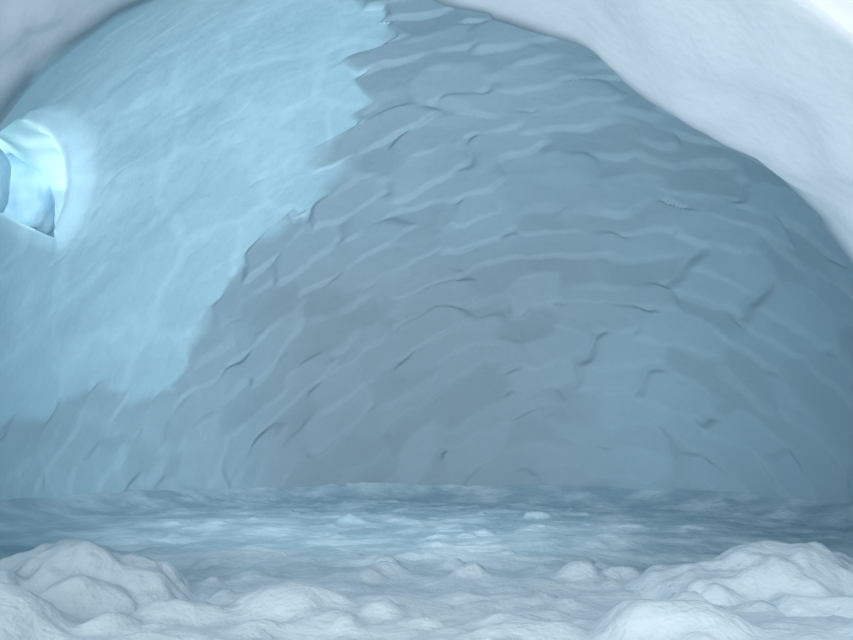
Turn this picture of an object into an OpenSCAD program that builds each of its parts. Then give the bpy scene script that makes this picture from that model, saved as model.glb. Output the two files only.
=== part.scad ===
// A small snow shelter: a thick snow dome over a dug-out room, with a ragged arched
// entrance, a side window and a packed-snow floor. Millimetres, +Z up, +Y to the back.

/* [Room] */
// radius of the room at the floor
room_radius = 1210; // [1150:10:1280]
// height of the straight wall, from the floor to where the dome springs
wall_rise = 140; // [100:10:180]
// depth of the trodden snow floor
floor_depth = 120; // [80:5:150]

/* [Walls] */
// thickness of the wall at its foot
foot_thickness = 380; // [300:10:450]
// thickness of the roof at the crown
crown_thickness = 220; // [160:10:280]
// how steeply the first joint leans in towards the room's middle, in degrees
first_bed_rise = 9; // [7:0.5:11]
// how steeply the second joint leans in, in degrees
second_bed_rise = 23.5; // [21:0.5:24]
// share of the dome above the entrance that the brow over it takes up, as a lean of the third joint
brow_share = 0.16; // [0.12:0.01:0.2]
// share of the roof that the crown takes up, from the middle out
crown_share = 0.62; // [0.55:0.01:0.7]

/* [Shovel cuts] */
// number of rows of cuts from the rows' hub round to the far side
rows_of_cuts = 38; // [30:1:42]
// number of cuts in the longest row
cuts_round = 27; // [22:1:32]
// how far a cut bites into the wall
cut_depth = 16; // [8:1:22]
// how far a cut slopes along its row, in degrees
cut_tip = 4; // [0:0.5:6]
// how far a cut slopes across its row, deeper towards the rows' hub, in degrees
shingle_tip = 9; // [4:0.5:12]
// share of the bite that is left in the smooth left wall
left_share = 0.35; // [0.2:0.05:1]
// how far the rows' hub lies to the right of the back, in degrees
rows_turn = 26; // [10:1:40]
// how far the rows' hub lies below the level, in degrees
rows_dip = 32; // [20:1:45]

/* [Entrance] */
// half the width of the entrance at the ground
arch_half_width = 780; // [720:10:800]
// height of the entrance above the ground
arch_height = 1070; // [1000:10:1100]
// how far the middle of the entrance stands to the right
arch_offset = 20; // [0:10:40]
// how far the top of the arch leans to the left of its middle
arch_lean = 370; // [250:10:400]
// how far the right shoulder of the arch slopes, where 1 is the same as the left
arch_slope = 1.35; // [1:0.05:1.5]

/* [Side window] */
// width of the window in the left wall, at its sill
window_width = 600; // [540:10:620]
// height of the window at the room's face
window_height = 190; // [170:5:210]
// height of the window where it opens out in the wall
window_outer_height = 250; // [220:5:270]
// height of the sill above the ground
sill = 890; // [880:5:910]
// how far the window's middle stands in front of the room's middle
window_forward = 110; // [80:5:130]
// angle by which the window opens towards the back on its way out
window_splay = 50; // [40:1:55]

/* [Loose snow] */
// width of the large chunk on the window sill
large_chunk_width = 150; // [130:5:170]
// height of the large chunk
large_chunk_height = 190; // [160:5:200]
// width of the small chunk on the window sill
small_chunk_width = 120; // [100:5:140]
// height of the small chunk
small_chunk_height = 165; // [140:5:175]
// height of the trodden heaps at the foot of the entrance
heap_height = 75; // [50:5:90]
// length of the left heap
heap_left_length = 380; // [300:10:440]
// length of the right heap
heap_right_length = 480; // [400:10:500]

/* [Hidden] */
$fn = 216;
radian = 180 / PI;
room_middle = floor_depth + wall_rise;
outside_radius = room_radius + foot_thickness;
outside_height = room_middle + room_radius + crown_thickness;
outside_spring = outside_height - outside_radius;
far = 2 * outside_radius;
below = 1;
arch_rise = asin((arch_height - room_middle) / room_radius);
third_bed_rise = arch_rise + brow_share * (90 - arch_rise);
crown_rise = 90 - crown_share * (90 - third_bed_rise);
ground_fall = -15;

// the rows of cuts: the rows next to the hub and opposite it are hidden behind the floor
row_step = 180 / rows_of_cuts;
first_row = 4;
last_row = rows_of_cuts - 2;
rows_tip = 90 + rows_dip;
rows_azimuth = 90 - rows_turn;
cut_height = 2 * room_radius * tan(row_step / 2);
cut_width = 2 * PI * room_radius / cuts_round;
cut_lap = 8;
cut_reach = 80;
cut_margin = 0.6;
least_cuts = 3;
least_bite = 0.1;
least_tip = 0.3;
scatter_along = 0.4;
scatter_steps = [0.7548777, 0.5698403, 0.3247180, 0.2360680];
ceiling_calm = 1.6;
ceiling_start = 2.2;

// the window and the loose snow, set out from the room's face at the sill
sill_radius = sqrt(pow(room_radius, 2) - pow(sill - room_middle, 2));
window_reach = 200;
chunk_inset = 125;
small_chunk_inset = 140;
large_chunk_place = 200;
small_chunk_place = -20;
chunk_depth = 150;
small_chunk_depth = 120;
chunk_rounding = 0.42;
heap_left_angle = 240;
heap_right_angle = 300;
heap_gap = 200;

// steps along the outlines of the entrance and the window, in degrees
arch_step = 7.5;
head_step = 15;

snow = [0.80, 0.88, 0.93];
snow_floor = [0.76, 0.85, 0.90];
snow_chunk = [0.84, 0.91, 0.95];

// where the courses are parted, in degrees from the right wall round by the back
foot_parts = [-40, -5, 32, 70, 110, 148, 185, 220];
middle_parts = [-40, -10, 22, 55, 90, 125, 158, 188, 220];
upper_parts = [-40, 5, 48, 90, 135, 180, 220];
roof_parts = [12, 57, 102, 147, 192, 237, 282, 327, 372];
brow_parts = [220, 245, 268, 292, 320];
entrance_middle = 270;

// the outside of the shelter, solid
module mound() {
    cylinder(h = outside_spring, r = outside_radius);
    translate([0, 0, outside_spring]) intersection() {
        sphere(r = outside_radius);
        translate([-far, -far, 0]) cube([2 * far, 2 * far, far]);
    }
}

// the space dug out of the mound, down to the ground
module hollow() {
    translate([0, 0, -below]) cylinder(h = room_middle + below, r = room_radius);
    translate([0, 0, room_middle]) sphere(r = room_radius);
}

// a steady scatter of numbers between 0 and 1, for the cuts of row i
function scatter(i, j, k) = let (v = [i, j, k, i * j] * scatter_steps) v - floor(v);

function cuts_in_row(i) = max(least_cuts, round(cuts_round * sin(i * row_step)));

// where a cut starts in its row, in degrees round the hub
function cut_start(i, j) = let (n = cuts_in_row(i))
    360 * (j + scatter(i, 0, 1) + scatter_along * scatter(i, j % n, 2)) / n;

// the direction from the room's middle to a point in the rows
function row_direction(polar, turn) = let (
    x = sin(polar) * cos(turn), y = sin(polar) * sin(turn), z = cos(polar),
    side = x * cos(rows_tip) + z * sin(rows_tip), up = z * cos(rows_tip) - x * sin(rows_tip)
) [side * cos(rows_azimuth) - y * sin(rows_azimuth), side * sin(rows_azimuth) + y * cos(rows_azimuth), up];

// the share of a full bite at a direction: less in the left wall and at the top of the ceiling
function boldness(d) = max(left_share, min(1, 1 + d.x, ceiling_start - ceiling_calm * d.z));

function turn_between(a, b) = let (d = (a - b) - 360 * floor((a - b) / 360)) min(d, 360 - d);

// true for a cut that may reach the wall between two rises and two angles
function cut_meets(d, low, high, from, to) = let (
    lap = asin(cut_margin * cut_width / room_radius),
    level = norm([d.x, d.y])
)
    asin(d.z) > low - lap && asin(d.z) < high + lap
    && (level < sin(lap) || turn_between(atan2(d.y, d.x), (from + to) / 2)
        < (to - from) / 2 + asin(min(1, sin(lap) / level)));

// one flat bite of the shovel
module shovel_cut(i, j, bold) {
    start = cut_start(i, j);
    width = room_radius * sin(i * row_step) * (cut_start(i, j + 1) - start) / radian + cut_lap;
    bite = cut_depth * (least_bite + (1 - least_bite) * scatter(i, j, 3));
    side_tip = cut_tip * (2 * scatter(i, j, 4) - 1);
    row_tip = shingle_tip * (least_tip + (1 - least_tip) * scatter(i, j, 5));
    rotate([0, i * row_step, (start + cut_start(i, j + 1)) / 2])
        translate([0, 0, room_radius + bold * bite])
        rotate([bold * side_tip, bold * row_tip, 0])
        translate([-(cut_height + cut_lap) / 2, -width / 2, -cut_reach])
        cube([cut_height + cut_lap, width, cut_reach]);
}

// the rows of cuts that reach the wall between two rises and two angles
module shovel_cuts(low, high, from, to) {
    translate([0, 0, room_middle]) rotate([0, rows_tip, rows_azimuth])
        for (i = [first_row : last_row]) for (j = [0 : cuts_in_row(i) - 1]) {
            middle = row_direction(i * row_step, (cut_start(i, j) + cut_start(i, j + 1)) / 2);
            if (cut_meets(middle, low, high, from, to)) shovel_cut(i, j, boldness(middle));
        }
}

// the cuts of the foot course, which end at the floor
module foot_cuts(from, to) {
    intersection() {
        shovel_cuts(ground_fall, first_bed_rise, from, to);
        translate([-far, -far, floor_depth]) cube([2 * far, 2 * far, far]);
    }
}

// the outline of the entrance, seen from the front
function arch_point(a) = [
    arch_offset - arch_lean * pow(sin(a), 2)
        + arch_half_width * (a < 90 ? pow(cos(a), arch_slope) : cos(a)),
    arch_height * sin(a)
];

module entrance_way() {
    outline = [for (a = [0 : arch_step : 180]) arch_point(a)];
    ground = [[arch_offset - arch_half_width, -below], [arch_offset + arch_half_width, -below]];
    rotate([90, 0, 0]) linear_extrude(far) polygon(concat(outline, ground));
}

// the hole in the left wall: a flat sill and a round head, cut straight out, with a higher
// run inside the wall that splays towards the back
module window_way() {
    translate([-sill_radius, -window_forward, sill]) {
        window_run(window_width, window_height, window_reach);
        rotate(-window_splay) window_run(window_width * cos(window_splay), window_outer_height, 0);
    }
}

module window_run(width, height, reach) {
    translate([reach, 0, 0]) rotate([90, 0, -90]) linear_extrude(far)
        polygon([for (a = [0 : head_step : 180]) [width / 2 * cos(a), height * sin(a)]]);
}

// the space above a joint, which leans in towards the room's middle all the way round
module above_bed(rise) {
    translate([0, 0, room_middle]) cylinder(h = outside_height, r1 = 0, r2 = outside_height / tan(rise));
}

// the space between two angles, from the ground up
module wedge(from, to) {
    linear_extrude(far) polygon([
        [0, 0],
        far * [cos(from), sin(from)],
        far * [cos((from + to) / 2), sin((from + to) / 2)],
        far * [cos(to), sin(to)]
    ]);
}

// one length of the lowest course
module foot_part(from, to) {
    difference() {
        intersection() {
            mound();
            wedge(from, to);
        }
        above_bed(first_bed_rise);
        hollow();
        foot_cuts(from, to);
    }
}

// one length of a higher course, between two joints and two angles
module course_part(low, high, from, to) {
    difference() {
        intersection() {
            mound();
            wedge(from, to);
            above_bed(low);
        }
        above_bed(high);
        hollow();
        shovel_cuts(low, high, from, to);
    }
}

module foot_wall(i) {
    color(snow) foot_part(foot_parts[i], foot_parts[i + 1]);
}

// a length of the lowest course, cut by the entrance
module foot_jamb(from, to) {
    color(snow) difference() {
        foot_part(from, to);
        entrance_way();
    }
}

module middle_wall(i) {
    color(snow) course_part(first_bed_rise, second_bed_rise, middle_parts[i], middle_parts[i + 1]);
}

module upper_wall(i) {
    color(snow) course_part(second_bed_rise, third_bed_rise, upper_parts[i], upper_parts[i + 1]);
}

module window_wall(i) {
    color(snow) difference() {
        course_part(second_bed_rise, third_bed_rise, upper_parts[i], upper_parts[i + 1]);
        window_way();
    }
}

module roof_part(i) {
    color(snow) course_part(third_bed_rise, crown_rise, roof_parts[i], roof_parts[i + 1]);
}

// one length of a higher course, cut by the entrance
module front_part(low, high, from, to) {
    color(snow) difference() {
        course_part(low, high, from, to);
        entrance_way();
    }
}

module foot_wall_right_front() { foot_wall(0); }
module foot_wall_right() { foot_wall(1); }
module foot_wall_back_right() { foot_wall(2); }
module foot_wall_back() { foot_wall(3); }
module foot_wall_back_left() { foot_wall(4); }
module foot_wall_left() { foot_wall(5); }
module foot_wall_left_front() { foot_wall(6); }
module foot_jamb_left() { foot_jamb(brow_parts[0], entrance_middle); }
module foot_jamb_right() { foot_jamb(entrance_middle, brow_parts[4]); }

module middle_wall_right_front() { middle_wall(0); }
module middle_wall_right() { middle_wall(1); }
module middle_wall_right_back() { middle_wall(2); }
module middle_wall_back_right() { middle_wall(3); }
module middle_wall_back_left() { middle_wall(4); }
module middle_wall_left_back() { middle_wall(5); }
module middle_wall_left() { middle_wall(6); }
module middle_wall_left_front() { middle_wall(7); }
module middle_jamb_left() { front_part(first_bed_rise, second_bed_rise, brow_parts[0], entrance_middle); }
module middle_jamb_right() { front_part(first_bed_rise, second_bed_rise, entrance_middle, brow_parts[4]); }

module upper_wall_right_front() { upper_wall(0); }
module upper_wall_right() { upper_wall(1); }
module upper_wall_back_right() { upper_wall(2); }
module upper_wall_back_left() { upper_wall(3); }
module window_wall_back() { window_wall(4); }
module window_wall_front() { window_wall(5); }
module brow_left_end() { front_part(second_bed_rise, third_bed_rise, brow_parts[0], brow_parts[1]); }
module brow_left() { front_part(second_bed_rise, third_bed_rise, brow_parts[1], brow_parts[2]); }
module brow_right() { front_part(second_bed_rise, third_bed_rise, brow_parts[2], brow_parts[3]); }
module brow_right_end() { front_part(second_bed_rise, third_bed_rise, brow_parts[3], brow_parts[4]); }

module roof_right() { roof_part(7); }
module roof_back_right() { roof_part(0); }
module roof_back() { roof_part(1); }
module roof_back_left() { roof_part(2); }
module roof_left() { roof_part(3); }
module roof_front_left() { roof_part(4); }
module roof_front() { roof_part(5); }
module roof_front_right() { roof_part(6); }

module crown() {
    color(snow) difference() {
        intersection() {
            mound();
            above_bed(crown_rise);
        }
        hollow();
        shovel_cuts(crown_rise, 90, 0, 360);
    }
}

module floor() {
    color(snow_floor) cylinder(h = floor_depth, r = room_radius);
}

// the floor carried out through the entrance to the face of the mound
module threshold() {
    color(snow_floor) difference() {
        intersection() {
            cylinder(h = floor_depth, r = outside_radius);
            entrance_way();
        }
        translate([0, 0, -below]) cylinder(h = floor_depth + 2 * below, r = room_radius);
    }
}

// a low round heap trodden against the floor
module heap(length) {
    radius = (length * length / 4 + heap_height * heap_height) / (2 * heap_height);
    intersection() {
        translate([0, 0, heap_height - radius]) sphere(r = radius);
        translate([-length, -length, 0]) cube([2 * length, 2 * length, length]);
    }
}

// a heap inside the room's edge, towards the entrance
module heap_at(angle, length) {
    rotate(angle) translate([room_radius - heap_gap, 0, floor_depth]) heap(length);
}

module heap_left() {
    color(snow_chunk) heap_at(heap_left_angle, heap_left_length);
}

module heap_right() {
    color(snow_chunk) heap_at(heap_right_angle, heap_right_length);
}

// a worn block of snow standing on the window sill
module chunk(width, height, depth) {
    intersection() {
        translate([-depth / 2, -width / 2, 0]) cube([depth, width, height]);
        translate([0, 0, height / 2]) sphere(r = chunk_rounding * norm([width, height, depth]));
    }
}

// a place on the sill, from the room's face at the window's middle
module on_sill(inset, place) {
    translate([-sill_radius - inset, place - window_forward, sill]) children();
}

module sill_chunk_large() {
    color(snow_chunk) on_sill(chunk_inset, large_chunk_place)
        chunk(large_chunk_width, large_chunk_height, chunk_depth);
}

module sill_chunk_small() {
    color(snow_chunk) on_sill(small_chunk_inset, small_chunk_place)
        chunk(small_chunk_width, small_chunk_height, small_chunk_depth);
}

foot_wall_right_front();
foot_wall_right();
foot_wall_back_right();
foot_wall_back();
foot_wall_back_left();
foot_wall_left();
foot_wall_left_front();
foot_jamb_left();
foot_jamb_right();
middle_wall_right_front();
middle_wall_right();
middle_wall_right_back();
middle_wall_back_right();
middle_wall_back_left();
middle_wall_left_back();
middle_wall_left();
middle_wall_left_front();
middle_jamb_left();
middle_jamb_right();
upper_wall_right_front();
upper_wall_right();
upper_wall_back_right();
upper_wall_back_left();
window_wall_back();
window_wall_front();
brow_left_end();
brow_left();
brow_right();
brow_right_end();
roof_right();
roof_back_right();
roof_back();
roof_back_left();
roof_left();
roof_front_left();
roof_front();
roof_front_right();
crown();
floor();
threshold();
heap_left();
heap_right();
sill_chunk_large();
sill_chunk_small();
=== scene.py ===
import math

import bpy
import numpy as np
from bpy.props import FloatProperty, FloatVectorProperty, PointerProperty
from bpy.types import Operator, Panel, PropertyGroup
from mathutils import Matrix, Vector


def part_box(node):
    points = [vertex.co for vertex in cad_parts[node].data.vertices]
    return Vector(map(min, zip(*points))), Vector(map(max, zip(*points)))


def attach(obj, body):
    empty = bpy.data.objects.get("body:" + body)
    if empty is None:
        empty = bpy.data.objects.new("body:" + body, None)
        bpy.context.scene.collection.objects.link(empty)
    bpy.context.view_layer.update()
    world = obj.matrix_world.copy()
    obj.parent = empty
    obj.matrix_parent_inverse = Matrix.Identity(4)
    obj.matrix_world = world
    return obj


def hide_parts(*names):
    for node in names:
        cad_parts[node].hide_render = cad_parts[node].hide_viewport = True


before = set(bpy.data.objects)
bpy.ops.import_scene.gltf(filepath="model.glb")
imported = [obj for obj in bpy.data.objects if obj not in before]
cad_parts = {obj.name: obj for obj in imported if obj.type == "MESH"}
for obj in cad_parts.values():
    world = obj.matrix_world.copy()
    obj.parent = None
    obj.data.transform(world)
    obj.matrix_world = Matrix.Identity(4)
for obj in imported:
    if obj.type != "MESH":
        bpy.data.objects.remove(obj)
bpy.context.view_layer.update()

bl_info = {
    "name": "Snow igloo",
    "version": (1, 0, 0),
    "blender": (4, 5, 0),
    "location": "3D View > Sidebar > Igloo",
    "description": "A domed snow shelter with a shovel-cut room, an arched entrance and a side window",
    "category": "Add Mesh",
}

# Lengths are in metres. The wall is a grid of rays that leave the room's middle: columns go
# round from the right wall by the back, from the first angle on, and rows go up from the ground to
# the crown. The outer face keeps one row and one column in COARSE.
COLUMNS = 1080
COLUMNS_A_DEGREE = 3
FIRST_ANGLE = -40
COARSE = 3
FOOT_ROWS_Z = (0.0, 0.04, 0.08, 0.11)
ROWS_UP_TO_SPRING = 20
ROWS = {"foot": 27, "middle": 45, "upper": 78, "roof": 45, "crown": 75}


def course(first, **ends):
    """The lengths of a course with the angles of their two ends; each starts where the one before ends."""
    angles = (first, *ends.values())
    return dict(zip(ends, zip(angles, angles[1:])))


# where each length of a course ends, in degrees
COURSES = {
    "foot": course(
        FIRST_ANGLE, foot_wall_right_front=-5, foot_wall_right=32, foot_wall_back_right=70,
        foot_wall_back=110, foot_wall_back_left=148, foot_wall_left=185, foot_wall_left_front=220,
        foot_jamb_left=270, foot_jamb_right=320,
    ),
    "middle": course(
        FIRST_ANGLE, middle_wall_right_front=-10, middle_wall_right=22, middle_wall_right_back=55,
        middle_wall_back_right=90, middle_wall_back_left=125, middle_wall_left_back=158, middle_wall_left=188,
        middle_wall_left_front=220, middle_jamb_left=270, middle_jamb_right=320,
    ),
    "upper": course(
        FIRST_ANGLE, upper_wall_right_front=5, upper_wall_right=48, upper_wall_back_right=90,
        upper_wall_back_left=135, window_wall_back=180, window_wall_front=220, brow_left_end=245,
        brow_left=268, brow_right=292, brow_right_end=320,
    ),
    "roof": course(
        12, roof_back_right=57, roof_back=102, roof_back_left=147, roof_left=192, roof_front_left=237,
        roof_front=282, roof_front_right=327, roof_right=372,
    ),
}
ENTRANCE_NODES = (
    "foot_jamb_left", "foot_jamb_right", "middle_jamb_left", "middle_jamb_right",
    "brow_left_end", "brow_left", "brow_right", "brow_right_end",
)
WINDOW_NODES = ("window_wall_back", "window_wall_front")

FLOOR_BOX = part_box("floor")
CROWN_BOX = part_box("crown")
FOOT_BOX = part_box("foot_wall_back")
SILL_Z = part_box("sill_chunk_large")[0].z


def colour(red, green, blue):
    """A colour read as 0 to 255 on a screen, as the linear colour a shader takes."""
    parts = [c / 255 for c in (red, green, blue)]
    return tuple(c / 12.92 if c <= 0.04045 else ((c + 0.055) / 1.055) ** 2.4 for c in parts)


def length(name, description, default, low, high):
    return FloatProperty(
        name=name, description=description, default=default, min=low, max=high,
        subtype="DISTANCE", unit="LENGTH",
    )


def number(name, description, default, low, high):
    return FloatProperty(name=name, description=description, default=default, min=low, max=high)


def watts(name, description, default):
    return number(name, description + ", in watts", default, 0, 2000)


def swatch(name, description, default):
    return FloatVectorProperty(
        name=name, description=description, default=default, size=3, min=0, max=1, subtype="COLOR"
    )


class IglooSizes(PropertyGroup):
    """Sizes of the snow shelter"""

    room_radius: length("Room radius", "Radius of the room at the floor", round(FLOOR_BOX[1].x, 3), 0.5, 3)
    floor_top: length("Floor height", "Height of the floor over the ground", FLOOR_BOX[1].z, 0.02, 0.5)
    wall_rise: length("Straight wall", "Height from the floor to where the dome springs", 0.14, 0.02, 0.6)
    outside_radius: length("Outside radius", "Radius of the mound at the ground", FOOT_BOX[1].y, 0.6, 4)
    outside_height: length("Outside height", "Height of the mound", CROWN_BOX[1].z, 0.6, 4)
    first_rise: number("First joint", "Lean of the first joint, in degrees", 9, 5, 15)
    second_rise: number("Second joint", "Lean of the second joint, in degrees", 23.5, 15, 30)
    brow_share: number("Brow share", "Share of the dome over the entrance in the brow", 0.16, 0.1, 0.3)
    crown_share: number("Crown share", "Share of the roof that the crown takes up", 0.62, 0.4, 0.8)
    arch_half_width: length("Entrance half width", "Half the width of the entrance", 0.78, 0.4, 1.1)
    arch_height: length("Entrance height", "Height of the entrance", 1.07, 0.5, 1.4)
    arch_offset: length("Entrance offset", "How far the entrance stands to the right", 0.02, -0.3, 0.3)
    arch_lean: length("Arch lean", "How far the arch's top leans to the left", 0.37, 0, 0.6)
    arch_slope: number("Arch slope", "How far the right shoulder slopes", 1.35, 1, 2)
    window_width: length("Window width", "Width of the window at its sill", 0.6, 0.2, 1)
    window_height: length("Window height", "Height of the window at the room's face", 0.19, 0.1, 0.5)
    window_outer_height: length("Window outer height", "Height of the window further out", 0.25, 0.1, 0.5)
    window_forward: length("Window forward", "How far the window stands to the front", 0.11, 0, 0.4)
    window_flare: number("Window flare", "Widening towards the back for each metre out", 1.19, 0, 2)
    cut_depth: length("Cut depth", "How far a shovel cut bites into the wall", 0.016, 0, 0.04)
    cut_tip: number("Cut slope", "How far a cut slopes along its row, in degrees", 4, 0, 8)
    shingle_tip: number("Shingle slope", "How far a cut slopes across its row, in degrees", 9, 0, 15)
    wander: length("Wander", "How far the edges of the cuts wander", 0.04, 0, 0.08)
    worn_edge: length("Worn edge", "Width over which the edge of a cut is worn soft", 0.012, 0.004, 0.05)
    heap_height: length("Heap height", "Height of the heaps at the entrance", 0.075, 0.02, 0.15)


class SnowColours(PropertyGroup):
    """Colours of the snow"""

    shade: swatch("Shaded snow", "The back and right of the room", colour(136, 158, 171))
    # painted light: the top and the right of the room are painted lighter than the shaded snow
    lit_ceiling: swatch("Ceiling", "The top of the room", colour(144, 172, 186))
    daylit: swatch("Daylit snow", "The thin left wall, with daylight behind it", colour(168, 206, 222))
    lip: swatch("Daylit snow at the lip", "The thin left wall close to the entrance", colour(184, 218, 230))
    # partly painted light: real joints between the chunks of the left wall, painted lighter as daylight glows
    # through them
    glowing_joint: swatch("Vein", "Lighter joints between the chunks of the left wall", colour(186, 224, 238))
    reveal: swatch("Entrance", "The thick snow of the entrance", colour(204, 220, 230))
    # painted light: the snow round the window is given the bright cyan of daylight coming through it
    window: swatch("Window", "The snow round the window", colour(212, 248, 254))
    # painted shade: the chunks on the sill are given the blue of snow in shadow
    shaded_chunk: swatch("Chunks", "The chunks on the window sill", colour(132, 178, 202))
    outside: swatch("Outside", "The weathered outside", colour(214, 226, 236))
    # painted shade: the trodden floor at the back is painted darker than at the entrance
    shaded_trodden: swatch("Trodden snow", "The floor at the back of the room", colour(140, 168, 182))
    # partly painted light: loose snow at the entrance, painted paler where daylight falls in
    fresh: swatch("Loose snow", "Loose snow at the entrance", colour(212, 229, 238))
    ground: swatch("Ground", "The ground the shelter stands on", colour(228, 232, 236))


class StudioSettings(PropertyGroup):
    """Camera and lamps"""

    lens: number("Lens", "Focal length in millimetres", 36.4, 10, 200)
    camera_back: length("Camera distance", "How far the camera stands in front of the middle", 2.15, 0.5, 20)
    camera_height: length("Camera height", "Height of the camera", 0.33, 0, 5)
    camera_tilt: number("Camera tilt", "How far the camera looks up, in degrees", 8, -45, 45)
    sky: number("Sky", "Strength of the light from all round", 0.85, 0, 3)
    key_lamp: watts("Key lamp", "Power of the outside lamp", 30)
    front_lamp: watts("Front lamp", "Power of the lamp in front of the entrance", 28)
    bounce_lamp: watts("Bounce lamp", "Power of the lamp under the entrance", 1.05)
    room_lamp: watts("Room lamp", "Power of the lamp in the room", 6.5)
    side_lamp: watts("Side lamp", "Power of the lamp at the left wall", 6)
    window_lamp: watts("Window lamp", "Power of the lamp in the window's mouth", 0.5)
    reveal_lamp: watts("Reveal lamp", "Power of the lamp at the window's reveal", 0.15)


def sizes():
    return bpy.context.scene.igloo_sizes


def colours():
    return bpy.context.scene.snow_colours


def room_middle():
    s = sizes()
    return s.floor_top + s.wall_rise


# Noise and cuts

SHUFFLE = np.random.RandomState(11).permutation(256)
SLOPES = np.random.RandomState(12).normal(size=(256, 3))
SLOPES /= np.linalg.norm(SLOPES, axis=1)[:, None]


def noise(points, size, seed=0):
    """Smooth noise from about -1 to 1 at points (n, 3); size is the distance between its knots."""
    q = points / size + seed * np.array([17.31, 5.77, 11.13])
    cell = np.floor(q).astype(np.int64)
    f = q - cell
    w = f * f * f * (f * (f * 6 - 15) + 10)
    total = np.zeros(len(q))
    for i in (0, 1):
        for j in (0, 1):
            for k in (0, 1):
                h = SHUFFLE[(cell[:, 0] + i) & 255]
                h = SHUFFLE[(h + cell[:, 1] + j) & 255]
                h = SHUFFLE[(h + cell[:, 2] + k) & 255]
                slope = ((f - (i, j, k)) * SLOPES[h]).sum(1)
                share = w if (i, j, k) == (1, 1, 1) else np.abs(1 - np.array([i, j, k]) - w)
                total += slope * share.prod(1)
    return 1.6 * total


def relief(points, layers):
    """Noise in layers, each with its height, its size and its seed."""
    return sum(height * noise(points, size, seed) for height, size, seed in layers)


def unit(vectors):
    return vectors / np.linalg.norm(vectors, axis=1)[:, None]


def eased(x):
    x = np.clip(x, 0, 1)
    return x * x * (3 - 2 * x)


def soft_max(a, b, width):
    """The larger of a and b, rounded where they are closer than width."""
    h = np.clip(width - np.abs(a - b), 0, None) / width
    return np.maximum(a, b) + h * h * width / 4


# The cuts lie in rows round a hub. The hub is turned to the right of the back and dips below the level,
# both in degrees, and the cuts of the left wall are shallower by a share.
ROWS_OF_CUTS = 38
CUTS_ROUND = 27
FIRST_CUT_ROW = 4
ROWS_TURN = 26
ROWS_DIP = 32
LEFT_SHARE = 0.35
ROW_STEP = 180 / ROWS_OF_CUTS


def scatter(i, j, k):
    """An even scatter from 0 to 1 for cut j of row i; k tells its uses apart."""
    v = i * 0.7548777 + j * 0.5698403 + k * 0.3247180 + i * j * 0.2360680
    return v - np.floor(v)


def cut_start(i, j, n):
    """Where cut j of the n cuts in row i starts, in degrees round the hub."""
    return 360 * (j + scatter(i, 0, 1) + 0.4 * scatter(i, j % n, 2)) / n


def rows_frame():
    """Columns are the axes of the rows of cuts, with the rows' hub along the last one."""
    tip, turn = math.radians(90 + ROWS_DIP), math.radians(90 - ROWS_TURN)
    lean = np.array([[math.cos(tip), 0, math.sin(tip)], [0, 1, 0], [-math.sin(tip), 0, math.cos(tip)]])
    spin = np.array([[math.cos(turn), -math.sin(turn), 0], [math.sin(turn), math.cos(turn), 0], [0, 0, 1]])
    return spin @ lean


def cut_list():
    """The shovel cuts in the order they were made, each with its face, its outline and its tone."""
    s = sizes()
    axes = rows_frame()
    row_height = s.room_radius * math.radians(ROW_STEP)
    cuts = []
    for i in range(FIRST_CUT_ROW, ROWS_OF_CUTS - 1):
        polar = math.radians(i * ROW_STEP)
        n = max(3, round(CUTS_ROUND * math.sin(polar)))
        for j in range(n):
            start, end = cut_start(i, j, n), cut_start(i, j + 1, n)
            turn = math.radians((start + end) / 2)
            way = axes @ (math.sin(polar) * math.cos(turn), math.sin(polar) * math.sin(turn), math.cos(polar))
            bold = max(LEFT_SHARE, min(1, 1 + way[0], 2.2 - 1.6 * way[2]))
            side = math.radians(bold * s.cut_tip * (2 * scatter(i, j, 4) - 1))
            row = math.radians(bold * s.shingle_tip * (0.3 + 0.7 * scatter(i, j, 5)))
            half = math.radians(end - start) / 2 * math.sin(polar) * s.room_radius
            cuts.append({
                "row": i, "turn": turn, "polar": polar, "way": way, "tone": scatter(i, j, 6),
                "reach": s.room_radius + bold * s.cut_depth * (0.1 + 0.9 * scatter(i, j, 3)),
                "slope": (math.cos(side) * math.sin(row), -math.sin(side), math.cos(side) * math.cos(row)),
                "half_length": half * (0.85 + 0.55 * scatter(i, j, 7)),
                "half_height": row_height / 2 * (1.0 + 0.9 * scatter(i, j, 8) ** 2),
                "twist": math.radians(26 * (scatter(i, j, 9) - 0.5)),
                "slant": 1.4 * (scatter(i, j, 10) - 0.5),
                "soft_side": s.worn_edge * (0.9 + 3.2 * scatter(i, j, 11) ** 2),
                "soft_end": s.worn_edge * (3.5 + 4 * scatter(i, j, 13)),
                "order": i + 2.6 * scatter(i, j, 12),
            })
    return sorted(cuts, key=lambda cut: cut["order"])


def cut_face(cut, way):
    """Distance from the room's middle to the flat face of a cut, along way."""
    along = way[:, 0] * math.cos(cut["turn"]) + way[:, 1] * math.sin(cut["turn"])
    across = way[:, 1] * math.cos(cut["turn"]) - way[:, 0] * math.sin(cut["turn"])
    x = along * math.cos(cut["polar"]) - way[:, 2] * math.sin(cut["polar"])
    z = along * math.sin(cut["polar"]) + way[:, 2] * math.cos(cut["polar"])
    slope = cut["slope"]
    return cut["reach"] * slope[2] / (x * slope[0] + across * slope[1] + z * slope[2])


def cut_share(cut, u, v):
    """How far points belong to a cut, from 0 to 1; u runs along its row and v across, from its middle."""
    c, s = math.cos(cut["twist"]), math.sin(cut["twist"])
    u, v = u * c + v * s, v * c - u * s
    past_end = np.abs(u + cut["slant"] * v) - cut["half_length"]
    past_side = np.abs(v) + 0.25 * np.maximum(past_end + 0.06, 0) - cut["half_height"]
    return eased(0.5 - past_end / cut["soft_end"]) * eased(0.5 - past_side / cut["soft_side"])


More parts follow.
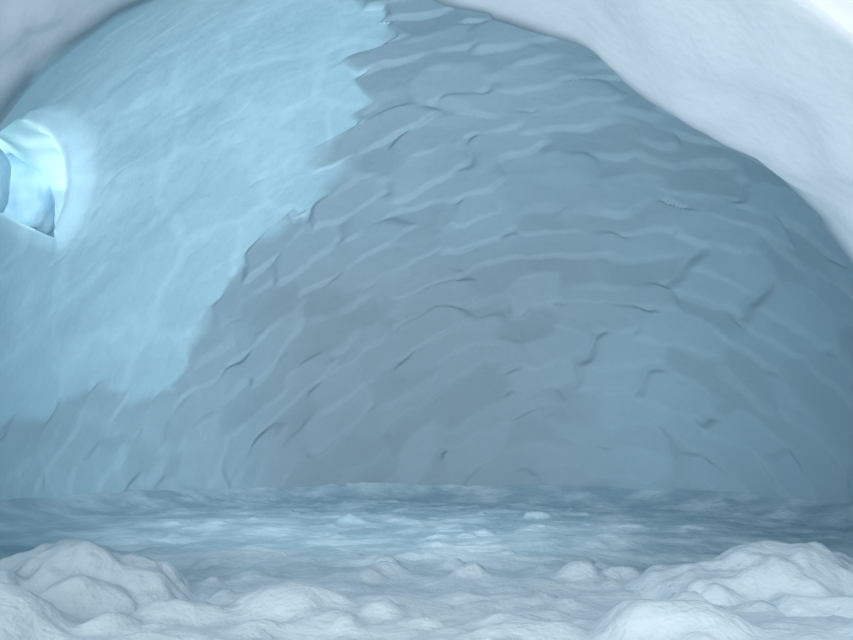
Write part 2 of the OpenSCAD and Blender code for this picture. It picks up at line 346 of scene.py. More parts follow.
def shovel_cuts(points):
    """How far the cuts lie from the room's middle, with each cut's tone and middle."""
    s = sizes()
    way = unit(points - (0, 0, room_middle()))
    warp = np.stack([noise(points, 0.33, k) + 0.45 * noise(points, 0.11, k + 3) for k in (21, 22, 23)], 1)
    bent = unit(way + s.wander / s.room_radius * warp)
    axes = rows_frame()
    own, bent = way @ axes, bent @ axes
    rows = np.degrees(np.arccos(np.clip(bent[:, 2], -1, 1))) / ROW_STEP
    turn = np.arctan2(bent[:, 1], bent[:, 0])
    row_height = s.room_radius * math.radians(ROW_STEP)
    face, tone, middle = np.full(len(points), s.room_radius), np.full(len(points), 0.5), way.copy()
    near = {}
    for cut in cut_list():
        i = cut["row"]
        if i not in near:
            near[i] = np.nonzero(np.abs(rows - i) < 1.7)[0]
        pick = near[i]
        u = (turn[pick] - cut["turn"] + math.pi) % (2 * math.pi) - math.pi
        u = u * math.sin(cut["polar"]) * s.room_radius
        close = np.abs(u) < cut["half_length"] + 0.12
        pick, u = pick[close], u[close]
        if len(pick):
            share = cut_share(cut, u, (rows[pick] - i) * row_height)
            face[pick] += share * (cut_face(cut, own[pick]) - face[pick])
            tone[pick] += share * (cut["tone"] - tone[pick])
            middle[pick] += share[:, None] * (cut["way"] - middle[pick])
    return face, tone, s.room_radius * middle + (0, 0, room_middle())


# The wall as rays

def outline():
    """The entrance as points (x, z) from the right foot over the top to the left foot."""
    s = sizes()
    a = np.radians(np.arange(0, 181, 1.5))
    c = np.cos(a)
    side = np.where(a < math.pi / 2, np.abs(c) ** s.arch_slope, c)
    return s.arch_offset - s.arch_lean * np.sin(a) ** 2 + s.arch_half_width * side, s.arch_height * np.sin(a)


# Relief of the worn snow: height, size and seed of each layer
RIM_RELIEF = ((0.026, 0.28, 31), (0.026, 0.12, 32), (0.005, 0.05, 33))
ROOM_RELIEF = ((0.013, 0.62, 1), (0.008, 0.24, 2))
FINE_ROOM_RELIEF = ((0.0020, 0.075, 3), (0.0007, 0.03, 4))
# Lumps that hang from the entrance: place across and up, width, height, and how far out they start
RIM_LUMPS = (
    (0.04, 1.00, 0.13, 0.030, 0.0), (-0.48, 0.88, 0.20, 0.060, 0.0), (0.26, 0.86, 0.05, 0.020, 0.0),
    (0.62, 0.52, 0.05, 0.020, 0.0), (0.50, 0.84, 0.22, 0.080, 1.00),
)


def entrance_reach(start, way, level):
    """Distance along each ray at which it leaves the entrance passage sideways or upwards."""
    x, z = outline()
    half = len(x) // 2
    middle = room_middle()

    def right_at(height):
        return np.interp(height, z[: half + 1], x[: half + 1])

    def left_at(height):
        return -np.interp(height, z[: half - 1 : -1], x[: half - 1 : -1])

    flat = np.maximum(np.abs(way[:, 0]), 1e-4)
    low = np.where(way[:, 0] > 0, right_at(start[:, 2]), left_at(start[:, 2])) / flat
    over = z >= middle
    angle = np.arctan2(z[over] - middle, x[over])
    size = np.hypot(z[over] - middle, x[over])
    angle = np.concatenate([[0], angle, [math.pi]])
    size = np.concatenate([[right_at(middle)], size, [left_at(middle)]])
    tilt = np.arctan2(way[:, 2], way[:, 0])
    high = np.interp(tilt, angle, size) / np.maximum(np.hypot(way[:, 0], way[:, 2]), 1e-4)
    reach = np.where(level < 0, low, high)
    reach = np.where(way[:, 1] < 0, np.minimum(reach, 4), 0)
    at = start + np.minimum(reach, sizes().outside_radius)[:, None] * way
    lumps = relief(at, RIM_RELIEF)
    for x, z, width, low, first in RIM_LUMPS:
        near = np.exp(-((at[:, 0] - x) ** 2 + (at[:, 2] - z) ** 2) / width**2)
        lumps -= low * near * eased((-at[:, 1] - first) / 0.15)
    return reach + np.where(reach > 0, lumps, 0)


def window_shape(x):
    """Place of the window's near side, its width and its height at x."""
    s = sizes()
    sill_radius = math.sqrt(s.room_radius**2 - (SILL_Z - room_middle()) ** 2)
    out = np.clip(-x - sill_radius, 0, 0.6)
    tall = s.window_height + (s.window_outer_height - s.window_height) * eased(out / 0.15)
    return -s.window_forward - s.window_width / 2, s.window_width + out * s.window_flare, tall


def window_gap(points):
    """How far points lie outside the window's outline, measured across it."""
    near, wide, tall = window_shape(points[:, 0])
    half, middle = wide / 2, near + wide / 2
    u, v = (points[:, 1] - middle) / half, (points[:, 2] - SILL_Z) / tall
    r = np.maximum(np.hypot(u, v), 1e-3)
    over = (r - 1) * r / np.hypot(u / half, v / tall).clip(1e-3)
    under = np.hypot(np.clip(np.abs(points[:, 1] - middle) - half, 0, None), SILL_Z - points[:, 2])
    gap = np.where(points[:, 2] >= SILL_Z, over, under)
    return np.where(points[:, 0] < -0.5, gap, 1)


def inner_reach(start, way, cuts):
    """Distance along each ray to the room's shovel-cut face, and how far it glows."""
    s = sizes()
    points = start + s.room_radius * way
    face, _, middle = cuts
    from_middle = np.linalg.norm(points - (0, 0, room_middle()), axis=1)
    bite = np.clip(face - from_middle + 0.002, 0, None)
    bite = 1.6 * s.cut_depth * np.tanh(bite / (1.6 * s.cut_depth))
    glow = daylight(points + 0.45 * (middle - points))
    patchy = 0.55 + 0.55 * eased(0.8 + 0.9 * noise(points, 0.45, 5))
    reach = s.room_radius + bite * patchy * (1 - 0.88 * glow)
    reach += relief(points, ROOM_RELIEF)
    reach += relief(points, FINE_ROOM_RELIEF)
    gap = window_gap(start + reach[:, None] * way)
    return reach + 0.032 * np.clip(1 - gap / 0.05, 0, 1) ** 2, glow


def outer_reach(start, way, level):
    """Distance along each ray to the weathered outside."""
    s = sizes()
    spring = s.outside_height - s.outside_radius
    lift = start[:, 2] - spring
    along = lift * way[:, 2]
    round_part = -along + np.sqrt(np.maximum(along**2 + s.outside_radius**2 - lift**2, 0))
    reach = np.where((level < 0) & (lift < 0), s.outside_radius, round_part)
    points = start + reach[:, None] * way
    reach = reach - 0.012 + 0.020 * noise(points, 0.75, 41) + 0.022 * np.abs(noise(points, 0.34, 42))
    reach += 0.007 * noise(points, 0.13, 43)
    gap = window_gap(points)
    return reach - 0.035 * np.clip(1 - gap / 0.06, 0, 1) ** 2


def rises():
    """The lean of each joint, in degrees."""
    s = sizes()
    arch_rise = math.degrees(math.asin((s.arch_height - room_middle()) / s.room_radius))
    third = arch_rise + s.brow_share * (90 - arch_rise)
    return [0, s.first_rise, s.second_rise, third, 90 - s.crown_share * (90 - third), 90]


# thickness below which the wall is rounded off at the entrance's rim
NOSE = 0.10


def rounded(thick):
    """The thickness of the wall near the entrance's rim, rounded like a nose."""
    a = np.clip(thick - NOSE / 4, 0, None)
    return np.where(thick < NOSE, np.sqrt(0.6667 * NOSE * a + 0.8889 * a * a), thick)


def rays(turn, level):
    """Starts and directions of rays; level is a height under the middle, or an angle above it."""
    rise = np.maximum(level, 0)
    start = np.stack([0 * turn, 0 * turn, room_middle() + np.minimum(level, 0)], 1)
    return start, np.stack([np.cos(turn) * np.cos(rise), np.sin(turn) * np.cos(rise), np.sin(rise)], 1)


def grid_normals(points):
    """Normals of a grid that goes round, pointing out."""
    across = np.roll(points, -1, 1) - np.roll(points, 1, 1)
    up = np.empty_like(points)
    up[1:-1] = points[2:] - points[:-2]
    up[0], up[-1] = points[1] - points[0], points[-1] - points[-2]
    normal = np.cross(across, up)
    size = np.linalg.norm(normal, axis=2)[..., None]
    return np.where(size > 1e-12, normal / np.maximum(size, 1e-12), (0, 0, 1))


def make_shell():
    """Inner and outer face of the whole wall on one grid, with the rows where each course starts."""
    s = sizes()
    z = np.concatenate([FOOT_ROWS_Z, np.linspace(s.floor_top, room_middle(), ROWS_UP_TO_SPRING + 1)])
    levels, courses, bounds = [z - room_middle()], {}, rises()
    first = 0
    for k, (name, count) in enumerate(ROWS.items()):
        levels.append(np.radians(np.linspace(bounds[k], bounds[k + 1], count + 1))[1:])
        last = sum(len(l) for l in levels) - 1
        courses[name] = (first, last)
        first = last
    level = np.concatenate(levels)
    turn = np.radians(FIRST_ANGLE + np.arange(COLUMNS) / COLUMNS_A_DEGREE)
    shape = (len(level), COLUMNS)
    t, l = np.broadcast_to(turn, shape).ravel(), np.repeat(level, COLUMNS)
    start, way = rays(t, l)
    cuts = shovel_cuts(start + s.room_radius * way)
    near, glow = inner_reach(start, way, cuts)
    near = soft_max(near, entrance_reach(start, way, l), 0.05)
    far = outer_reach(start, way, l)
    thick, middle = far - near, (far + near) / 2
    full = rounded(thick)
    near, far = middle - full / 2, middle + full / 2
    grids = {k: (start + v[:, None] * way).reshape(shape + (3,)) for k, v in
             (("inner", near), ("outer", far), ("rim", middle))}
    for k in ("inner", "outer"):
        grids[k][-1] = grids[k][-1].mean(0)
    return {
        **grids, "thick": thick.reshape(shape), "courses": courses, "level": level,
        "tone": cuts[1].reshape(shape), "glow": glow.reshape(shape),
        "inner_normal": -grid_normals(grids["inner"]), "outer_normal": grid_normals(grids["outer"]),
    }


SHELL = {}


def shell():
    if not SHELL:
        SHELL.update(make_shell())
    return SHELL


# Tones of the snow

def daylight(points):
    """How far the thin left wall glows, from 0 to 1."""
    x, y, z = points.T
    wander = 0.035 * noise(points, 0.16, 51) + 0.02 * noise(points, 0.06, 52)
    right = np.interp(z, [0.47, 0.64, 0.84, 1.02, 1.15, 1.30, 1.41, 1.47],
                      [-0.85, -0.79, -0.70, -0.54, -0.37, -0.27, -0.19, -0.12])
    foot = np.interp(y, [-0.9, 0.25, 0.85], [0.30, 0.385, 0.47])
    return eased((right - x + wander) / 0.07 + 0.5) * eased((z - foot + wander) / 0.06 + 0.5)


def tones(points, outside, tone, glow):
    """The tone layers of snow at points: how daylit, how near the entrance and so on."""
    s = sizes()
    flat = np.hypot(points[:, 0], points[:, 1])
    from_middle = np.where(
        points[:, 2] > room_middle(), np.linalg.norm(points - (0, 0, room_middle()), axis=1), flat
    )
    front = eased((-points[:, 1] - 0.45) / 0.2)
    reveal = eased((from_middle - s.room_radius - 0.015) / 0.04) * front
    gap = window_gap(points)
    # painted shade: the low back of the window keeps less of the painted daylight
    window_low_back_shade = eased((1.02 + 0.02 * noise(points, 0.06, 53) - points[:, 2]) / 0.02) * (points[:, 1] > 0.1)
    to_left = 0.55 * eased((-points[:, 0] - 0.35) / 0.7)
    return {
        "daylight": np.maximum(glow, to_left) * (1 - outside) * (1 - reveal),
        "cut_tone": tone,
        "reveal": reveal * (1 - outside),
        "window_snow": eased(1 - gap / 0.010) * (1 - outside) * (1 - 0.75 * window_low_back_shade),
        "outside": outside,
        # painted light: how far the room's snow is painted lighter, towards the top and towards the right
        "lift": np.maximum(eased((points[:, 2] - 0.75) / 0.6), eased((points[:, 0] - 0.1) / 0.9)),
        "near_lip": eased((-points[:, 1] + 0.1) / 0.55),
    }


def put_tones(mesh, layers):
    for name, values in layers.items():
        layer = mesh.attributes.new(name, "FLOAT", "POINT")
        layer.data.foreach_set("value", values.astype(np.float32))


# Meshes

def flat_normals(points, faces):
    corners = points[faces]
    nxt = np.roll(corners, -1, 1)
    normal = np.cross(corners, nxt).sum(1)
    normal /= np.maximum(np.linalg.norm(normal, axis=1), 1e-12)[:, None]
    return np.repeat(normal[:, None], faces.shape[1], 1)


def make_mesh(name, points, groups):
    """A mesh of points and groups of (faces, corner normals); a group's faces have as many corners each."""
    groups = [(np.asarray(f), n) for f, n in groups if len(f)]
    corners = np.concatenate([f.ravel() for f, _ in groups])
    counts = np.concatenate([np.full(len(f), f.shape[1]) for f, _ in groups])
    mesh = bpy.data.meshes.new(name)
    mesh.vertices.add(len(points))
    mesh.vertices.foreach_set("co", points.astype(np.float32).ravel())
    mesh.loops.add(len(corners))
    mesh.loops.foreach_set("vertex_index", corners.astype(np.int32))
    mesh.polygons.add(len(counts))
    mesh.polygons.foreach_set("loop_start", np.concatenate([[0], np.cumsum(counts)[:-1]]).astype(np.int32))
    mesh.polygons.foreach_set("use_smooth", np.ones(len(counts), bool))
    mesh.update(calc_edges=True)
    if all(n is not None for _, n in groups):
        mesh.normals_split_custom_set(np.concatenate([n.reshape(-1, 3) for _, n in groups]))
    return mesh


def quads(index):
    """Faces of a grid of point numbers, seen from outside: columns go round and rows go up."""
    return np.stack([index[:-1, :-1], index[:-1, 1:], index[1:, 1:], index[1:, :-1]], -1).reshape(-1, 4)


def joint_faces(fine, coarse, flip):
    """Faces of a joint between a fine and a coarse line of point numbers."""
    step = (len(fine) - 1) // (len(coarse) - 1)
    runs = [fine[k::step][: len(coarse) - 1] for k in range(step)] + [fine[step::step]]
    faces = np.stack(runs + [coarse[1:], coarse[:-1]], 1)
    return faces[:, ::-1] if flip else faces


def columns_of(angles):
    return [(a - FIRST_ANGLE) * COLUMNS_A_DEGREE for a in angles]


def plain_mesh(name, rows, angles):
    """A length of a course with a fine inner and a coarse outer face."""
    g = shell()
    c0, c1 = columns_of(angles)
    r, c = np.arange(rows[0], rows[1] + 1), np.arange(c0, c1 + 1) % COLUMNS
    r3, c3 = r[::COARSE], c[::COARSE]
    fine, coarse = np.ix_(r, c), np.ix_(r3, c3)
    points = np.concatenate([g["inner"][fine].reshape(-1, 3), g["outer"][coarse].reshape(-1, 3)])
    normals = [g["inner_normal"][fine].reshape(-1, 3), g["outer_normal"][coarse].reshape(-1, 3)]
    normals = np.concatenate(normals)
    i = np.arange(len(r) * len(c)).reshape(len(r), len(c))
    o = np.arange(len(r3) * len(c3)).reshape(len(r3), len(c3)) + i.size
    faces_in, faces_out = quads(i)[:, ::-1], quads(o)
    joints = np.concatenate([
        joint_faces(i[0], o[0], False), joint_faces(i[-1], o[-1], True),
        joint_faces(i[:, 0], o[:, 0], True), joint_faces(i[:, -1], o[:, -1], False),
    ])
    mesh = make_mesh(name, points, [
        (faces_in, normals[faces_in]), (faces_out, normals[faces_out]), (joints, flat_normals(points, joints))
    ])
    tone, glow = (np.concatenate([g[k][fine].ravel(), g[k][coarse].ravel()]) for k in ("tone", "glow"))
    put_tones(mesh, tones(points, (np.arange(len(points)) >= i.size).astype(float), tone, glow))
    return mesh, points, normals


def front_mesh(name, rows, angles):
    """A length of a course that ends at the entrance's ragged rim."""
    g = shell()
    c0, c1 = columns_of(angles)
    pick = np.ix_(np.arange(rows[0], rows[1] + 1), np.arange(c0, c1 + 1) % COLUMNS)
    thick, limit = g["thick"][pick], NOSE / 4
    there = thick > limit
    nr, nc = there.shape
    order = np.cumsum(there.ravel()).reshape(nr, nc) - 1
    count = int(there.sum())
    i = np.where(there, order, -1)
    o = np.where(there, order + count, -1)
    inner, outer, middle = g["inner"][pick], g["outer"][pick], g["rim"][pick]
    n_in, n_out = g["inner_normal"][pick], g["outer_normal"][pick]
    rim, rim_normal, rim_from, rim_number = [], [], [], {}

    def rim_point(a, b):
        key = (min(a, b), max(a, b))
        if key not in rim_number:
            if not there[a]:
                a, b = b, a
            share = float(np.clip((thick[a] - limit) / (thick[a] - thick[b]), 0.12, 0.95))
            rim.append(middle[a] + share * (middle[b] - middle[a]))
            lean = n_in[a] + n_out[a]
            rim_normal.append(lean / max(np.linalg.norm(lean), 1e-6))
            rim_from.append(i[a])
            rim_number[key] = 2 * count + len(rim) - 1
        return rim_number[key]

    whole = there[:-1, :-1] & there[:-1, 1:] & there[1:, 1:] & there[1:, :-1]
    some = (there[:-1, :-1] | there[:-1, 1:] | there[1:, 1:] | there[1:, :-1]) & ~whole
    keep = whole.ravel()
    sheets = [quads(i)[keep][:, ::-1], quads(o)[keep]]
    odd = {}

    def add(face, kind):
        odd.setdefault((len(face), kind), []).append(face)

    for r, c in zip(*np.nonzero(some)):
        ring = [(r, c), (r, c + 1), (r + 1, c + 1), (r + 1, c)]
        face_in, face_out = [], []
        for a, b in zip(ring, ring[1:] + ring[:1]):
            if there[a]:
                face_in.append(i[a])
                face_out.append(o[a])
            if there[a] != there[b]:
                p = rim_point(a, b)
                face_in.append(p)
                face_out.append(p)
        if len(face_out) > 2:
            add(face_out, "sheet")
            add(face_in[::-1], "sheet")
    lines = [
        ([(0, c) for c in range(nc)], False), ([(nr - 1, c) for c in range(nc)], True),
        ([(r, 0) for r in range(nr)], True), ([(r, nc - 1) for r in range(nr)], False),
    ]
    for line, flip in lines:
        for a, b in zip(line, line[1:]):
            if there[a] and there[b]:
                face = [i[a], i[b], o[b], o[a]]
            elif there[a]:
                face = [i[a], rim_point(a, b), o[a]]
            elif there[b]:
                face = [rim_point(a, b), i[b], o[b]]
            else:
                continue
            add(face[::-1] if flip else face, "joint")
    points = np.concatenate([inner[there], outer[there], np.array(rim).reshape(-1, 3)])
    normals = np.concatenate([n_in[there], n_out[there], np.array(rim_normal).reshape(-1, 3)])
    groups = [(f, normals[f]) for f in sheets if len(f)]
    for (_, kind), faces in odd.items():
        faces = np.array(faces)
        groups.append((faces, normals[faces] if kind == "sheet" else flat_normals(points, faces)))
    mesh = make_mesh(name, points, groups)
    n = np.arange(len(points))
    sources = np.concatenate([n[:count], n[:count], np.array(rim_from, int)])
    tone, glow = (g[k][pick][there][sources] for k in ("tone", "glow"))
    put_tones(mesh, tones(points, np.where(n >= 2 * count, 0.5, (n >= count).astype(float)), tone, glow))
    return mesh


def cap_faces(rings):
    """Faces over rings of point numbers, from the edge in; a ring may have half the points of the last."""
    by_size = {}
    for a, b in zip(rings, rings[1:]):
        if len(b) == 1:
            faces = np.stack([a, np.roll(a, -1), np.full(len(a), b[0])], 1)
        elif len(b) == len(a):
            faces = np.stack([a, np.roll(a, -1), np.roll(b, -1), b], 1)
        else:
            faces = np.stack([a[::2], a[1::2], np.roll(a, -2)[::2], np.roll(b, -1), b], 1)
        by_size.setdefault(faces.shape[1], []).append(faces)
    return [np.concatenate(f) for f in by_size.values()]


def crown_mesh(name):
    """The plug in the middle of the roof."""
    g = shell()
    first, last = g["courses"]["crown"]
    points, normals, sheets, edges, tone, glow = [], [], [], [], [], []
    number = 0
    for face, border in (("inner", 1), ("outer", COARSE)):
        rings = []
        for row in range(first, last + 1, border):
            share = (row - first) / (last - first)
            step = border * (1 if row == first else 2 if share < 0.5 else 4 if share < 0.78 else 8)
            cols = np.arange(0, COLUMNS, step) if row < last else np.array([0])
            points.append(g[face][row, cols])
            normals.append(g[face + "_normal"][row, cols])
            tone.append(g["tone"][row, cols])
            glow.append(g["glow"][row, cols])
            rings.append(np.arange(number, number + len(cols)))
            number += len(cols)
        sheets.append([f[:, ::-1] if face == "inner" else f for f in cap_faces(rings)])
        edges.append(rings[0])
    points, normals = np.concatenate(points), np.concatenate(normals)
    fine, coarse = (np.concatenate([e, e[:1]]) for e in edges)
    joint = joint_faces(fine, coarse, False)
    groups = [(f, normals[f]) for sheet in sheets for f in sheet]
    mesh = make_mesh(name, points, groups + [(joint, flat_normals(points, joint))])
    outside = (np.arange(len(points)) >= edges[1][0]).astype(float)
    put_tones(mesh, tones(points, outside, np.concatenate(tone), np.concatenate(glow)))
    return mesh


def window_cutter():
    """The hole of the window: a round-headed passage over a flat sill, wider to the back further out."""
    stations, head, sill = 60, 60, 44
    rows = []
    for k in range(stations):
        x = -0.70 - 1.15 * k / (stations - 1)
        near, wide, tall = window_shape(x)
        a = np.linspace(0, math.pi, head)
        y = near + wide / 2 + wide / 2 * np.cos(a)
        z = SILL_Z + tall * np.sin(a)
        y_sill = np.linspace(near, near + wide, sill + 2)[1:-1]
        rows.append(np.stack([
            np.full(head + sill, x), np.concatenate([y, y_sill]), np.concatenate([z, np.full(sill, SILL_Z)])
        ], 1))
    points = np.concatenate(rows)
    away = (points - (0, -sizes().window_forward, SILL_Z + 0.09)) * (0, 1, 1)
    points = points + relief(points, ((0.011, 0.12, 61), (0.005, 0.05, 62)))[:, None] * unit(away)
    count = head + sill
    index = np.arange(len(points)).reshape(stations, count)
    closed = np.concatenate([index, index[:, :1]], 1)
    mesh = bpy.data.meshes.new("window_hole")
    faces = [tuple(f) for f in quads(closed)[:, ::-1]]
    faces += [tuple(index[0]), tuple(index[-1][::-1])]
    mesh.from_pydata(points.tolist(), [], [tuple(int(v) for v in f) for f in faces])
    return bpy.data.objects.new("window_hole", mesh)


def read(items, name, width=1, kind=np.float32):
    """A property of all items as an array, with one row for each item if it is wide."""
    values = np.empty(len(items) * width, kind)
    items.foreach_get(name, values)
    return values.reshape(-1, width) if width > 1 else values


def cut_window(mesh, points, normals, hole):
    """mesh with the window taken out, its shading kept where the face is untouched."""
    work = bpy.data.objects.new("window_work", mesh)
    bpy.context.scene.collection.objects.link(work)
    bpy.context.scene.collection.objects.link(hole)
    cut = work.modifiers.new("window", "BOOLEAN")
    cut.operation, cut.solver, cut.object = "DIFFERENCE", "EXACT", hole
    bpy.context.view_layer.update()
    made = bpy.data.meshes.new_from_object(work.evaluated_get(bpy.context.evaluated_depsgraph_get()))
    bpy.context.scene.collection.objects.unlink(hole)
    bpy.data.objects.remove(work)
    co = read(made.vertices, "co", 3)
    known = {tuple(p): k for k, p in enumerate(points.astype(np.float32).tolist())}
    match = np.array([known.get(tuple(p), -1) for p in co.tolist()])
    made.polygons.foreach_set("use_smooth", np.ones(len(made.polygons), bool))
    total = read(made.polygons, "loop_total", kind=np.int32)
    flat = np.repeat(read(made.polygons, "normal", 3), total, 0)
    if "custom_normal" in made.attributes:
        made.attributes.remove(made.attributes["custom_normal"])
    made.set_sharp_from_angle(angle=math.radians(40))
    own = read(made.corner_normals, "vector", 3)
    m = match[read(made.loops, "vertex_index", kind=np.int32)]
    wanted = normals[np.maximum(m, 0)]
    use = (m >= 0) & ((wanted * flat).sum(1) > 0.75)
    made.normals_split_custom_set(np.where(use[:, None], wanted, own))
    for name in [a.name for a in made.attributes if a.data_type == "FLOAT" and not a.name.startswith(".")]:
        made.attributes.remove(made.attributes[name])
    co = co.astype(float)
    start_z = np.minimum(co[:, 2], room_middle())
    rel = co - np.stack([0 * start_z, 0 * start_z, start_z], 1)
    far = np.linalg.norm(rel, axis=1)
    way = rel / far[:, None]
    level = np.where(co[:, 2] < room_middle(), co[:, 2] - room_middle(), np.arcsin(np.clip(way[:, 2], -1, 1)))
    turn = np.arctan2(rel[:, 1], rel[:, 0])
    outside = eased((far - outer_reach(*rays(turn, level), level) + 0.012) / 0.01)
    g = shell()
    row = np.rint(np.interp(level, g["level"], np.arange(len(g["level"])))).astype(int)
    column = np.rint((np.degrees(turn) - FIRST_ANGLE) % 360 * COLUMNS_A_DEGREE).astype(int) % COLUMNS
    put_tones(made, tones(co, outside, g["tone"][row, column], g["glow"][row, column]))
    return made


# Materials

def link_value(tree, socket, value):
    if isinstance(value, bpy.types.NodeSocket):
        tree.links.new(value, socket)
    elif hasattr(value, "__len__") and len(value) == 3 and len(socket.default_value) == 4:
        socket.default_value = (*value, 1)
    else:
        socket.default_value = value


def add_node(tree, kind, settings=(), **inputs):
    made = tree.nodes.new("ShaderNode" + kind)
    for key, value in dict(settings).items():
        setattr(made, key, value)
    for key, value in inputs.items():
        numbered = key[0] == "i" and key[1:].isdigit()
        link_value(tree, made.inputs[int(key[1:]) if numbered else key.replace("_", " ")], value)
    return made


def layer(tree, name):
    return add_node(tree, "Attribute", {"attribute_name": name}).outputs["Fac"]


def math_node(tree, operation, a, b=0.0, c=0.0):
    return add_node(tree, "Math", {"operation": operation}, i0=a, i1=b, i2=c).outputs[0]


def mix(tree, share, a, b, blend="MIX"):
    settings = {"data_type": "RGBA", "blend_type": blend, "clamp_factor": True}
    return add_node(tree, "Mix", settings, i0=share, i6=a, i7=b).outputs[2]


def times(tree, base, level):
    """A colour made lighter or darker by level."""
    grey = add_node(tree, "CombineColor", {}, Red=level, Green=level, Blue=level).outputs[0]
    return mix(tree, 1.0, base, grey, "MULTIPLY")


def ramp(tree, value, low, high):
    settings = {"interpolation_type": "SMOOTHSTEP"}
    return add_node(tree, "MapRange", settings, i0=value, i1=low, i2=high).outputs[0]


def grain(tree, place, scale, detail=3.0, rough=0.55):
    made = add_node(tree, "TexNoise", {}, Vector=place, Scale=scale, Detail=detail, Roughness=rough)
    return made.outputs["Fac"]


def snow_base(name):
    """A material with a shader and the place of each point in the shelter's own frame."""
    material = bpy.data.materials.new(name)
    material.use_nodes = True
    tree = material.node_tree
    tree.nodes.clear()
    shader = add_node(tree, "BsdfPrincipled", {}, Roughness=0.78, IOR=1.31)
    shader.inputs["Specular IOR Level"].default_value = 0.25
    end = add_node(tree, "OutputMaterial")
    tree.links.new(shader.outputs[0], end.inputs[0])
    return material, tree, shader, add_node(tree, "TexCoord").outputs["Object"]


def speckle(tree, place, base, amount):
    """Light and dark variation of a colour, as in packed snow."""
    broad = grain(tree, place, 5.0, 3.0)
    fine = grain(tree, place, 55.0, 1.0)
    mixed = math_node(tree, "MULTIPLY_ADD", broad, 0.6, math_node(tree, "MULTIPLY", fine, 0.4))
    return times(tree, base, math_node(tree, "MULTIPLY_ADD", mixed, 2 * amount, 1 - amount))


def snow_bump(tree, shader, place, heights):
    """Fine surface of the snow: (scale, distance in metres) of each layer, coarse to fine."""
    normal = None
    for detail, (scale, distance) in zip((3.0, 1.5, 0.0), heights):
        height = grain(tree, place, scale, detail, 0.6)
        made = add_node(tree, "Bump", {}, Height=height, Distance=distance, Strength=0.7)
        if normal is not None:
            tree.links.new(normal, made.inputs["Normal"])
        normal = made.outputs[0]
    tree.links.new(normal, shader.inputs["Normal"])


def wall_snow():
    c = colours()
    material, tree, shader, place = snow_base("shaded_wall_snow")
    # The room's painted shade, painted lighter towards the top and towards the right
    base = mix(tree, layer(tree, "lift"), c.shade, c.lit_ceiling)
    base = times(tree, base, math_node(tree, "MULTIPLY_ADD", layer(tree, "cut_tone"), 0.14, 0.92))
    stretched = add_node(tree, "Mapping", {}, Vector=place).outputs[0]
    tree.nodes[-1].inputs["Scale"].default_value = (1.0, 1.0, 0.55)
    warp = add_node(tree, "TexNoise", {}, Vector=place, Scale=6.0, Detail=2.0)
    shifted = add_node(tree, "VectorMath", {"operation": "MULTIPLY_ADD"})
    tree.links.new(warp.outputs["Color"], shifted.inputs[0])
    shifted.inputs[1].default_value = (0.12, 0.12, 0.12)
    tree.links.new(stretched, shifted.inputs[2])
    cells = add_node(tree, "TexVoronoi", {"feature": "DISTANCE_TO_EDGE"}, Scale=4.2)
    tree.links.new(shifted.outputs[0], cells.inputs["Vector"])
    # painted glow: lighter veins along the joints between the chunks of the left wall
    glowing_joint = math_node(tree, "SUBTRACT", 1.0, ramp(tree, cells.outputs[0], 0.0, 0.10))
    glowing_joint = math_node(tree, "MULTIPLY", glowing_joint, 0.38)
    glowing = mix(tree, glowing_joint, c.daylit, c.glowing_joint)
    glowing = mix(tree, layer(tree, "near_lip"), glowing, c.lip)
    base = mix(tree, layer(tree, "daylight"), base, glowing)
    # painted daylight goes over the window's snow; the entrance and the outside take their own snow colours
    for name, colour_there in (("reveal", c.reveal), ("window_snow", c.window), ("outside", c.outside)):
        base = mix(tree, layer(tree, name), base, colour_there)
    tree.links.new(speckle(tree, place, base, 0.07), shader.inputs["Base Color"])
    snow_bump(tree, shader, place, ((14.0, 0.0047), (55.0, 0.0013), (230.0, 0.0003)))
    return material


def trodden_snow():
    c = colours()
    material, tree, shader, place = snow_base("shaded_trodden_snow")
    patches = ramp(tree, grain(tree, place, 7.0, 3.0), 0.35, 0.7)
    base = mix(tree, math_node(tree, "MULTIPLY", patches, 0.45), c.shaded_trodden, c.fresh)
    # paler towards the entrance: loose snow, and painted daylight that falls in there
    base = mix(tree, layer(tree, "fresh"), base, c.fresh)
    tree.links.new(speckle(tree, place, base, 0.09), shader.inputs["Base Color"])
    snow_bump(tree, shader, place, ((24.0, 0.0085), (75.0, 0.0033), (260.0, 0.0006)))
    return material


def loose_snow():
    c = colours()
    material, tree, shader, place = snow_base("shaded_loose_snow")
    # random patches between the chunks' painted shade and the lighter painted glow of the left wall's joints
    facing = ramp(tree, grain(tree, place, 9.0, 2.0), 0.3, 0.75)
    base = mix(tree, facing, c.shaded_chunk, c.glowing_joint)
    tree.links.new(speckle(tree, place, base, 0.06), shader.inputs["Base Color"])
    snow_bump(tree, shader, place, ((20.0, 0.0056), (80.0, 0.0017), (260.0, 0.0004)))
    return material


def material_named(name):
    made = bpy.data.materials.get("shaded_" + name)
    return made or {"wall_snow": wall_snow, "trodden_snow": trodden_snow, "loose_snow": loose_snow}[name]()


def place_piece(mesh, name, node, slot):
    mesh.materials.clear()
    mesh.materials.append(material_named(slot))
    piece = bpy.data.objects.new(name, mesh)
    bpy.context.scene.collection.objects.link(piece)
    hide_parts(node)
    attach(piece, "root")


# Floor and loose snow

# place, radius and height of the lumps that stand out
LUMPS = (
    (-0.19, -0.95, 0.085, 0.028), (-0.50, -1.12, 0.110, 0.050), (0.27, -1.14, 0.090, 0.040),
    (-0.32, -1.02, 0.060, 0.022), (-0.206, 0.22, 0.040, 0.026), (0.30, 0.28, 0.040, 0.020),
    (0.10, -1.10, 0.070, 0.018), (0.55, -1.20, 0.090, 0.030),
)


